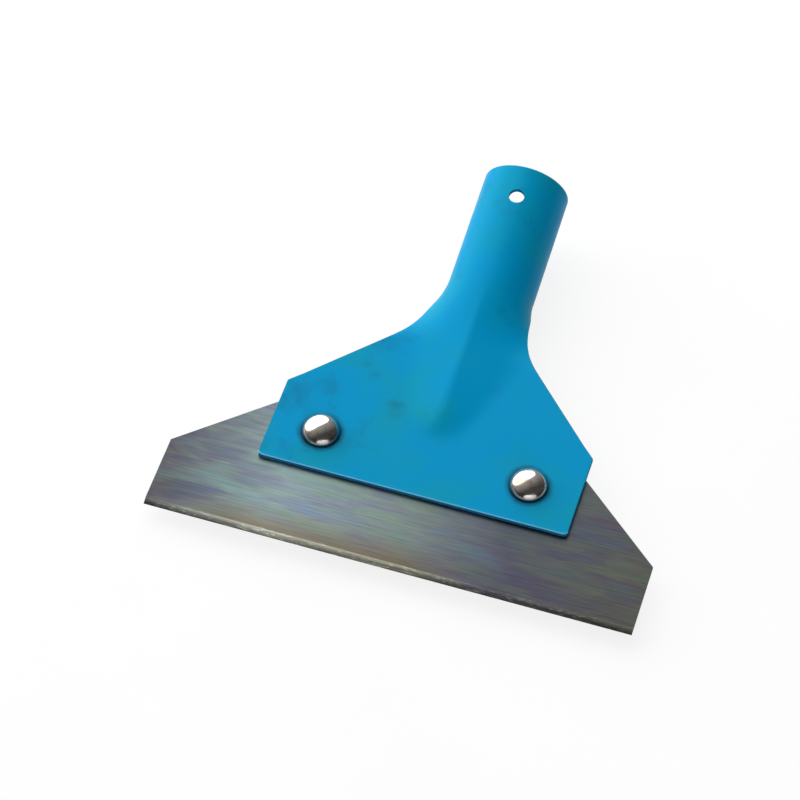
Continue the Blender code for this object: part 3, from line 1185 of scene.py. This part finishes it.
class SCRAPER_OT_bolts(bpy.types.Operator):
    """Make the domed bolts with their square necks and threads"""

    bl_idname = "scraper.bolts"
    bl_label = "Bolts"

    def execute(self, context):
        sizes = context.scene.scraper_sizes
        low, high = tool_box("bolt_left")
        seat = high.z - sizes.head_height
        bolt = domed_head(sizes)
        join_solids(bolt, square_neck(sizes), "UNION")
        join_solids(bolt, threaded_rod(sizes, low.z - seat), "UNION")
        # The painted shade and dark reflection are thickest where the head meets the plate and thin
        # out up its first rings
        foot = dome_rings(sizes)[FOOT_RINGS][1]
        mark_faces(
            bolt,
            "foot",
            lambda face: 0 < face.center.z < foot and math.sqrt(1 - face.center.z / foot),
        )
        surface = bright_nickel(context.scene.scraper_colours)
        for side in SIDES:
            low, high = tool_box(f"bolt_{side}")
            piece = copy_of(bolt, f"domed_bolt_{side}")
            put_in_place(piece, ((low.x + high.x) / 2, (low.y + high.y) / 2, seat))
            finish_surface(piece, surface)
            stand_for(piece, f"bolt_{side}", "scraper")
        bpy.data.objects.remove(bolt, do_unlink=True)
        return {"FINISHED"}


class SCRAPER_OT_washers(bpy.types.Operator):
    """Finish the flat washers and the split spring washers"""

    bl_idname = "scraper.washers"
    bl_label = "Washers"

    def execute(self, context):
        surface = shared_zinc(context.scene.scraper_colours)
        for side in SIDES:
            for kind in ("flat_washer", "spring_washer"):
                piece = copy_of_node(f"{kind}_{side}", f"plated_{kind}_{side}")
                round_arrises(piece, context.scene.scraper_sizes.washer_arris, segments=2)
                finish_surface(piece, surface)
                stand_for(piece, f"{kind}_{side}", f"washers_{side}")
        return {"FINISHED"}


def hexagon_bar(across_flats, height):
    """A six-sided bar with a flat towards X, from zero down."""
    return bar(6, across_flats / math.sqrt(3), -height, 0)


def double_cone(face_radius, height, slope):
    """Two cones base to base, whose cut-off tops are a nut's end faces."""
    widest = face_radius + height / 2 / math.tan(slope)
    cone = bar(NUT_ROUND_SIDES, widest, -height, 0)
    bpy.ops.object.mode_set(mode="EDIT")
    pick_edges(cone, lambda edge: edge_height(edge) > height / 2)
    bpy.ops.mesh.subdivide(number_cuts=1)
    pick_faces(cone, lambda centre, normal: abs(normal.z) > math.cos(SMOOTH_ANGLE))
    scale_round_axis(face_radius / widest)
    bpy.ops.object.mode_set(mode="OBJECT")
    return cone


def countersunk_core(radius, height, countersink):
    """What is taken out of a nut: a bore that widens at both ends."""
    core = bar(NUT_ROUND_SIDES, radius, -height, 0)
    bpy.ops.object.mode_set(mode="EDIT")
    for way in (1, -1):
        pick_faces(core, lambda centre, normal: normal.z * way > math.cos(SMOOTH_ANGLE))
        outwards = (0, 0, way * countersink)
        bpy.ops.transform.translate(value=(0, 0, -way * countersink))
        # The first step ends at the nut's end face, and the second takes the core clear of it
        for step in (1, 2):
            bpy.ops.mesh.extrude_region_move(TRANSFORM_OT_translate={"value": outwards})
            scale_round_axis((radius + step * countersink) / (radius + (step - 1) * countersink))
    bpy.ops.object.mode_set(mode="OBJECT")
    return core


class SCRAPER_OT_nuts(bpy.types.Operator):
    """Make the hexagon nuts with chamfered corners and countersunk holes"""

    bl_idname = "scraper.nuts"
    bl_label = "Nuts"

    def execute(self, context):
        sizes = context.scene.scraper_sizes
        low, high = tool_box("nut_left")
        across_flats, height = high.x - low.x, high.z - low.z
        nut = hexagon_bar(across_flats, height)
        face_radius = across_flats / 2 * sizes.nut_face_share
        join_solids(nut, double_cone(face_radius, height, sizes.nut_chamfer), "INTERSECT")
        core = countersunk_core(sizes.nut_bore / 2, height, sizes.nut_countersink)
        join_solids(nut, core, "DIFFERENCE")
        surface = shared_zinc(context.scene.scraper_colours)
        for side in SIDES:
            low, high = tool_box(f"nut_{side}")
            piece = copy_of(nut, f"hexagon_nut_{side}")
            put_in_place(piece, ((low.x + high.x) / 2, (low.y + high.y) / 2, high.z))
            finish_surface(piece, surface)
            stand_for(piece, f"nut_{side}", f"nut_{side}")
        bpy.data.objects.remove(nut, do_unlink=True)
        return {"FINISHED"}


def camera_place():
    """Where the camera stands in the model's space, looking at the tool as the photograph does."""
    look = Matrix.Rotation(CAMERA_ROLL, 4, "Z") @ Matrix.Rotation(CAMERA_TILT, 4, "X")
    look = look @ Matrix.Rotation(CAMERA_SWING, 4, "Y")
    eye = look.transposed() @ Vector((*CAMERA_ASIDE, CAMERA_DISTANCE))
    return TOOL @ Matrix.Translation(eye) @ look.transposed()


def photo_camera():
    data = bpy.data.cameras.new("photo_camera")
    data.sensor_width = SENSOR_WIDTH_MM
    data.lens = FOCAL_LENGTH_MM
    camera = bpy.data.objects.new("photo_camera", data)
    camera.matrix_world = camera_place()
    bpy.context.scene.collection.objects.link(camera)
    bpy.context.scene.camera = camera


def pale_floor_paint():
    """Matt white floor paint: near white to the camera and in reflections, with a soft shadow."""
    surface = bpy.data.materials.new("matt_white_floor_paint")
    surface.use_nodes = True
    tree = surface.node_tree
    tree.nodes.clear()
    coordinates = add(tree, "ShaderNodeTexCoord")
    grain = add(
        tree,
        "ShaderNodeTexNoise",
        {"Vector": coordinates.outputs["Object"], "Scale": per_mm(60), "Detail": 3.0},
    )
    shade = add(
        tree,
        "ShaderNodeValToRGB",
        {"Fac": grain.outputs["Fac"]},
        stops=[(0.3, opaque(linear("#F4F4F3"))), (0.7, opaque(linear("#FBFBFA")))],
    )
    matt = add(tree, "ShaderNodeBsdfDiffuse", {"Color": shade.outputs["Color"]})
    white = add(tree, "ShaderNodeEmission", {"Color": grey(1.0), "Strength": 1.0})
    rays = add(tree, "ShaderNodeLightPath")
    seen = add(
        tree,
        "ShaderNodeMath",
        {0: rays.outputs["Is Camera Ray"], 1: rays.outputs["Is Glossy Ray"]},
        operation="MAXIMUM",
    )
    seen = add(
        tree,
        "ShaderNodeMath",
        {0: seen.outputs["Value"], 1: rays.outputs["Is Transmission Ray"]},
        operation="MAXIMUM",
    )
    share = add(
        tree,
        "ShaderNodeMath",
        {0: seen.outputs["Value"], 1: FLOOR_OWN_LIGHT},
        operation="MULTIPLY",
    )
    mixed = add(
        tree,
        "ShaderNodeMixShader",
        {0: share.outputs["Value"], 1: matt.outputs["BSDF"], 2: white.outputs["Emission"]},
    )
    add(tree, "ShaderNodeOutputMaterial", {"Surface": mixed.outputs["Shader"]})
    return surface


def pale_floor(width):
    deselect_all()
    bpy.ops.mesh.primitive_plane_add(size=width, location=(0, 0, 0))
    floor = bpy.context.view_layer.objects.active
    floor.name = "studio_floor"
    floor.data.materials.append(pale_floor_paint())


def direction(azimuth, elevation):
    """Azimuth 0 is beyond the socket, and 90 degrees is to the right."""
    level = math.cos(elevation)
    return Vector((math.sin(azimuth) * level, math.cos(azimuth) * level, math.sin(elevation)))


def soft_light(name, power, size, azimuth, elevation, distance):
    """A soft light, oval as its reflections on the bolt heads are, that faces the tool."""
    data = bpy.data.lights.new(name, "AREA")
    data.shape = "ELLIPSE"
    data.size, data.size_y = size
    data.energy = power
    light = bpy.data.objects.new(name, data)
    away = direction(azimuth, elevation)
    light.location = away * distance
    light.rotation_euler = away.to_track_quat("Z", "Y").to_euler()
    bpy.context.scene.collection.objects.link(light)


def room_light(strength):
    """A plain grey room, dim all round but on the side of its window."""
    world = bpy.data.worlds.new("studio_room")
    world.use_nodes = True
    tree = world.node_tree
    tree.nodes.clear()
    towards = add(tree, "ShaderNodeTexCoord")
    facing = add(
        tree,
        "ShaderNodeVectorMath",
        {0: towards.outputs["Generated"], 1: direction(*WINDOW_PLACE[:2])},
        operation="DOT_PRODUCT",
    )
    level = add(
        tree,
        "ShaderNodeMapRange",
        {
            "Value": facing.outputs["Value"],
            "To Min": strength * ROOM_DIM_SIDE,
            "To Max": strength * ROOM_WINDOW_SIDE,
        },
    )
    room = add(
        tree,
        "ShaderNodeBackground",
        {"Color": grey(1.0), "Strength": level.outputs["Result"]},
    )
    add(tree, "ShaderNodeOutputWorld", {"Surface": room.outputs["Background"]})
    bpy.context.scene.world = world


class SCRAPER_OT_stage(bpy.types.Operator):
    """Set up the camera, the pale floor and the soft studio light"""

    bl_idname = "scraper.stage"
    bl_label = "Stage"

    def execute(self, context):
        stage = context.scene.scraper_stage
        photo_camera()
        pale_floor(stage.floor_width)
        soft_light("window_light", stage.window_power, WINDOW_SIZE, *WINDOW_PLACE)
        soft_light("camera_light", stage.camera_light_power, CAMERA_LIGHT_SIZE, *CAMERA_LIGHT_PLACE)
        room_light(stage.room_light)
        context.scene.view_settings.view_transform = "Standard"
        return {"FINISHED"}


STEPS = (
    SCRAPER_OT_holder,
    SCRAPER_OT_blade,
    SCRAPER_OT_bolts,
    SCRAPER_OT_washers,
    SCRAPER_OT_nuts,
    SCRAPER_OT_stage,
)

GROUPS = {
    "scraper_sizes": ScraperSizes,
    "scraper_colours": ScraperColours,
    "scraper_stage": ScraperStage,
}


class SCRAPER_PT_build(bpy.types.Panel):
    """The steps that finish the scraper, and its sizes, colours and lights"""

    bl_idname = "SCRAPER_PT_build"
    bl_label = "Floor scraper"
    bl_space_type = "VIEW_3D"
    bl_region_type = "UI"
    bl_category = "Scraper"

    def draw(self, context):
        for step in STEPS:
            self.layout.operator(step.bl_idname)
        for name, group in GROUPS.items():
            box = self.layout.box()
            for value in group.__annotations__:
                box.prop(getattr(context.scene, name), value)


def register():
    for name, group in GROUPS.items():
        bpy.utils.register_class(group)
        setattr(bpy.types.Scene, name, PointerProperty(type=group))
    for cls in (*STEPS, SCRAPER_PT_build):
        bpy.utils.register_class(cls)


def unregister():
    for cls in (SCRAPER_PT_build, *reversed(STEPS)):
        bpy.utils.unregister_class(cls)
    for name, group in GROUPS.items():
        delattr(bpy.types.Scene, name)
        bpy.utils.unregister_class(group)


def main():
    register()
    bpy.ops.scraper.holder()
    bpy.ops.scraper.blade()
    bpy.ops.scraper.bolts()
    bpy.ops.scraper.washers()
    bpy.ops.scraper.nuts()
    bpy.ops.scraper.stage()


if __name__ == "__main__":
    main()
